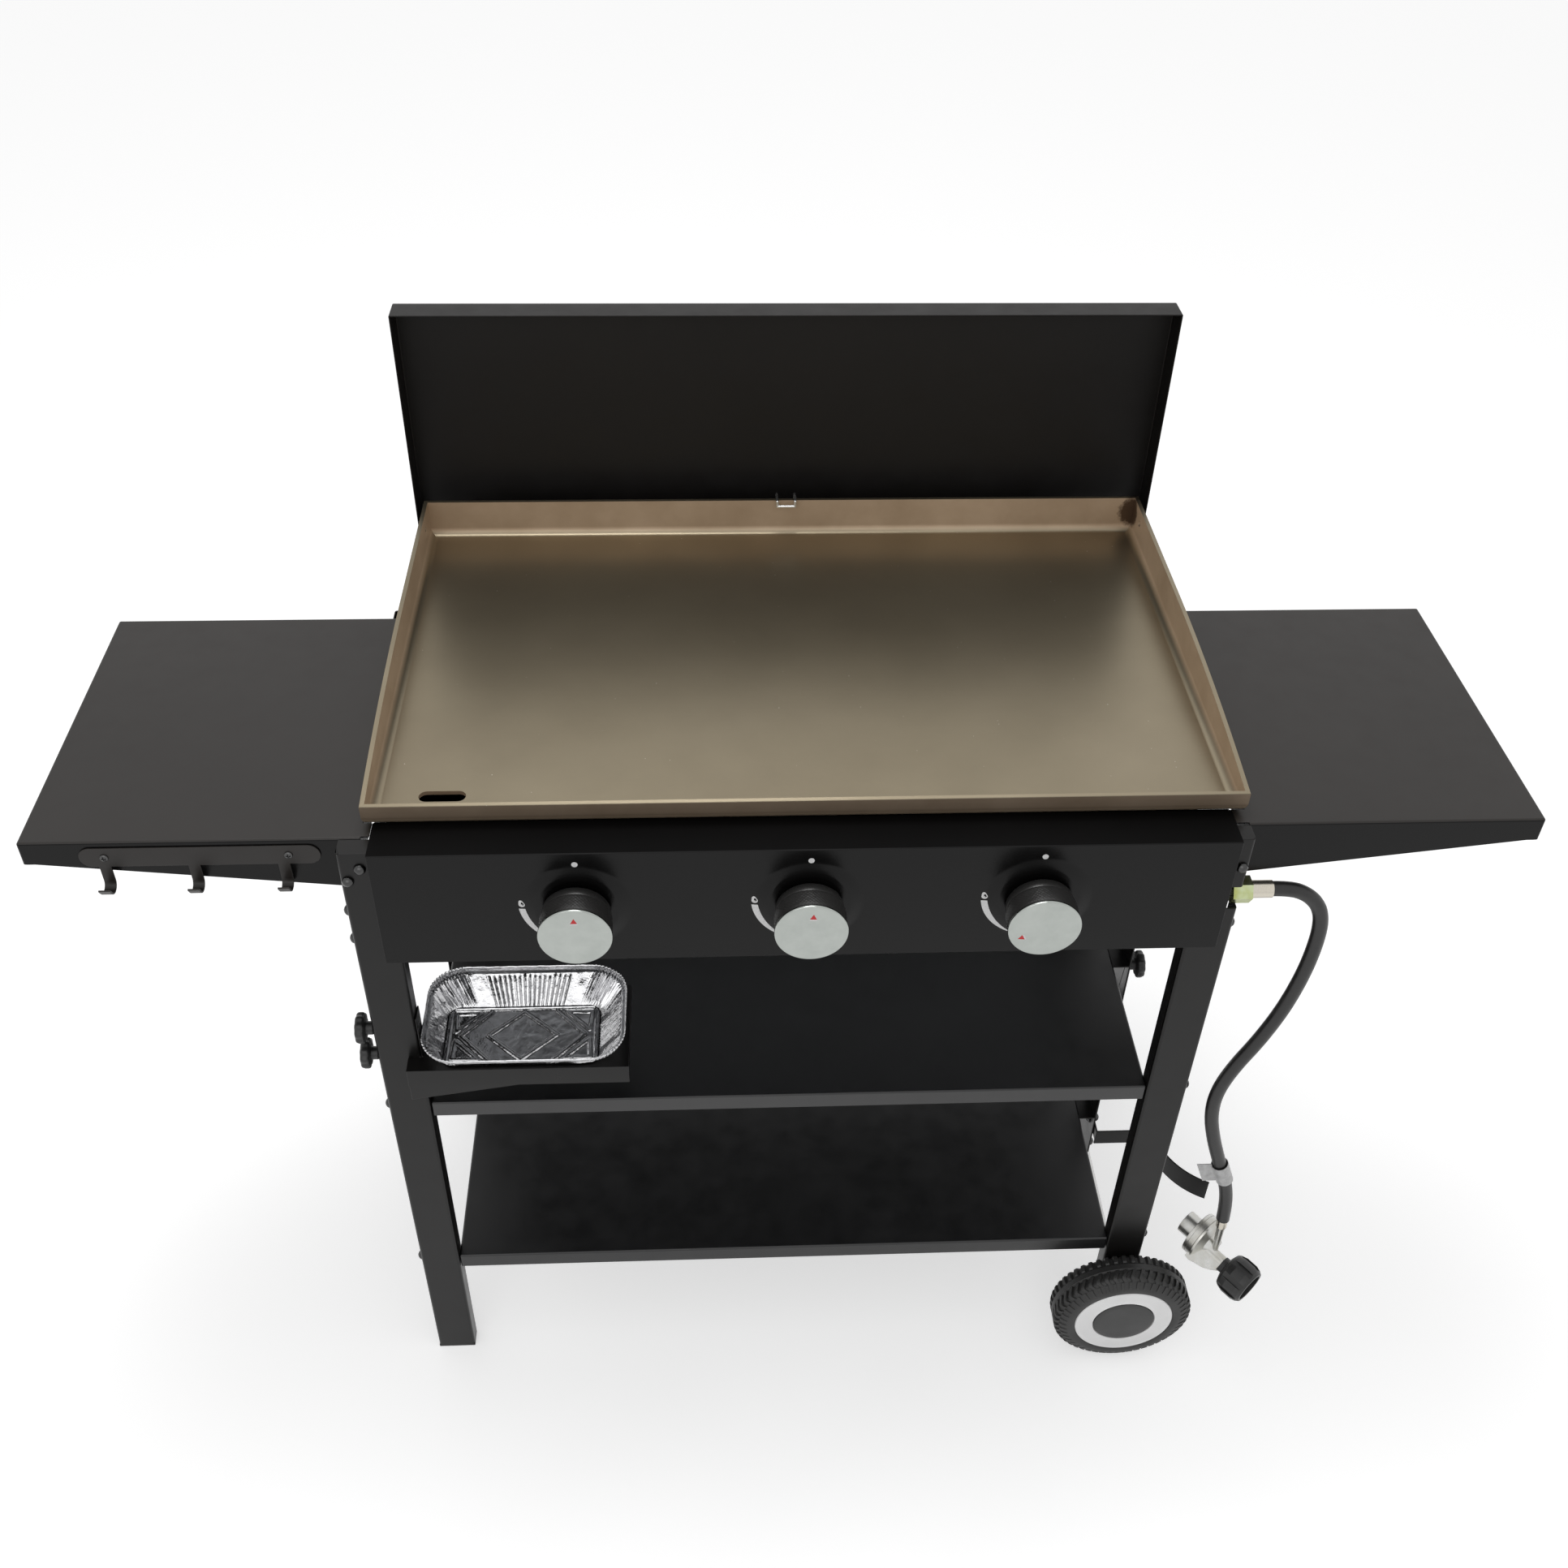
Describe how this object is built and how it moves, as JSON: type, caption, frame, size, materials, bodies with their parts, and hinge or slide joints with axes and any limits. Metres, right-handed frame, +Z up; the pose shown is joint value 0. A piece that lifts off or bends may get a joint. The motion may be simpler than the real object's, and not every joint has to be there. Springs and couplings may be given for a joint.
{
  "type": "outdoor gas griddle station",
  "caption": "Wheeled outdoor gas griddle: a flat steel cooking plate over a burner box on a cart with side shelves, grease tray, gas hose and lift-off cover.",
  "frame": {"origin": "on the ground under the middle of the station's overall box, hose and regulator left out", "axes": "+X along the station to its right end, +Y from the control panel to the back, +Z up"},
  "size_m": [1.3134, 0.6421, 1.006],
  "materials": {
    "plate_steel": "satin",
    "black_paint": "satin",
    "grey_paint": "satin",
    "hood_paint": "matte",
    "bright_wire": "polished",
    "foil": "bright",
    "knob_black": "satin",
    "knob_chrome": "mirror",
    "stem_brass": "machined",
    "valve_alloy": "cast",
    "burner_steel": "rolled",
    "shield_steel": "galvanised",
    "black_plastic": "moulded",
    "ceramic": "glazed",
    "bolt_black": "black oxide",
    "screw_steel": "zinc plated",
    "tyre_rubber": "moulded",
    "wheel_grey": "moulded",
    "cap_grey": "satin",
    "inlet_zinc": "yellow zinc",
    "nickel": "nickel plated",
    "hose_rubber": "smooth",
    "tag_paper": "film",
    "die_cast": "die cast"
  },
  "bodies": {
    "cart": {"tray_carrier": "black_paint", "leg_front_left": "grey_paint", "leg_front_right": "grey_paint", "leg_rear_left": "grey_paint", "leg_rear_right": "grey_paint", "foot_caps": "black_plastic", "mid_shelf": "grey_paint", "bottom_shelf": "grey_paint", "side_shelf_left": "grey_paint", "side_shelf_right": "grey_paint", "hook_rail": "black_paint", "rail_screws": "screw_steel", "frame_bolts": "bolt_black", "control_panel": "black_paint", "body_shell": "black_paint", "heat_shield": "shield_steel", "igniters": "ceramic", "gas_manifold": "burner_steel", "axle": "screw_steel", "axle_nuts": "screw_steel", "tank_upright": "grey_paint", "tank_arm": "grey_paint", "inlet_nut": "inlet_zinc", "hose": "hose_rubber", "hose_ferrules": "nickel", "hose_tag": "tag_paper", "regulator": "die_cast", "gas_valve_1": "valve_alloy", "burner_1": "burner_steel", "gas_valve_2": "valve_alloy", "burner_2": "burner_steel", "gas_valve_3": "valve_alloy", "burner_3": "burner_steel"},
    "plate": {"griddle_plate": "plate_steel"},
    "hood": {"hood_cover": "hood_paint", "hood_hanger": "bright_wire", "hood_handle": "bright_wire"},
    "tray": {"foil_tray": "foil"},
    "lower_carrier_knob": {"carrier_knob_lower": "black_plastic"},
    "upper_carrier_knob": {"carrier_knob_upper": "black_plastic"},
    "bottle_knob": {"tank_knob": "black_plastic"},
    "coupling": {"coupling_nut": "black_plastic"},
    "front_wheel": {"wheel_front_tyre": "tyre_rubber", "wheel_front_rim": "wheel_grey", "wheel_front_cap": "cap_grey"},
    "rear_wheel": {"wheel_rear_tyre": "tyre_rubber", "wheel_rear_rim": "wheel_grey", "wheel_rear_cap": "cap_grey"},
    "push_1": {"stem_collar_1": "screw_steel"},
    "dial_1": {"valve_stem_1": "stem_brass", "knob_1": "knob_black", "knob_face_1": "knob_chrome"},
    "push_2": {"stem_collar_2": "screw_steel"},
    "dial_2": {"valve_stem_2": "stem_brass", "knob_2": "knob_black", "knob_face_2": "knob_chrome"},
    "push_3": {"stem_collar_3": "screw_steel"},
    "dial_3": {"valve_stem_3": "stem_brass", "knob_3": "knob_black", "knob_face_3": "knob_chrome"}
  },
  "joints": [
    {"name": "plate_lift", "type": "slide", "parent": "cart", "child": "plate", "axis": [0, 0, 1], "range_m": [0, 0.3]},
    {"name": "hood_lift", "type": "slide", "parent": "plate", "child": "hood", "axis": [0, 0, 1], "range_m": [0, 0.3]},
    {"name": "tray_pull", "type": "slide", "parent": "cart", "child": "tray", "axis": [0, -1, 0], "range_m": [0, 0.19]},
    {"name": "knob_push_1", "type": "slide", "parent": "cart", "child": "push_1", "axis": [0, 1, 0], "range_m": [0, 0.003], "stiffness_N_per_m": 900, "springref_m": -0.002},
    {"name": "knob_turn_1", "type": "hinge", "parent": "push_1", "child": "dial_1", "pos_m": [-0.19035, -0.28675, 0.6992], "axis": [0, -1, 0], "range_deg": [0, 200]},
    {"name": "knob_push_2", "type": "slide", "parent": "cart", "child": "push_2", "axis": [0, 1, 0], "range_m": [0, 0.003], "stiffness_N_per_m": 900, "springref_m": -0.002},
    {"name": "knob_turn_2", "type": "hinge", "parent": "push_2", "child": "dial_2", "pos_m": [0.01015, -0.28675, 0.6992], "axis": [0, -1, 0], "range_deg": [0, 200]},
    {"name": "knob_push_3", "type": "slide", "parent": "cart", "child": "push_3", "axis": [0, 1, 0], "range_m": [0, 0.003], "stiffness_N_per_m": 900, "springref_m": -0.002},
    {"name": "knob_turn_3", "type": "hinge", "parent": "push_3", "child": "dial_3", "pos_m": [0.21065, -0.28675, 0.6992], "axis": [0, -1, 0], "range_deg": [-121, 79]},
    {"name": "front_wheel_spin", "type": "hinge", "parent": "cart", "child": "front_wheel", "pos_m": [0.37665, -0.29275, 0.0765], "axis": [0, 1, 0], "continuous": true},
    {"name": "rear_wheel_spin", "type": "hinge", "parent": "cart", "child": "rear_wheel", "pos_m": [0.37665, 0.12095, 0.0765], "axis": [0, 1, 0], "continuous": true},
    {"name": "lower_carrier_knob_turn", "type": "hinge", "parent": "cart", "child": "lower_carrier_knob", "pos_m": [-0.39385, -0.26075, 0.4974], "axis": [-1, 0, 0], "continuous": true},
    {"name": "upper_carrier_knob_turn", "type": "hinge", "parent": "cart", "child": "upper_carrier_knob", "pos_m": [-0.39385, -0.26075, 0.5326], "axis": [-1, 0, 0], "continuous": true},
    {"name": "bottle_knob_turn", "type": "hinge", "parent": "cart", "child": "bottle_knob", "pos_m": [0.38115, -0.08675, 0.413], "axis": [1, 0, 0], "continuous": true},
    {"name": "coupling_turn", "type": "hinge", "parent": "cart", "child": "coupling", "pos_m": [0.47898, -0.28943, 0.15039], "axis": [0.622, -0.7782, -0.0864], "continuous": true}
  ]
}
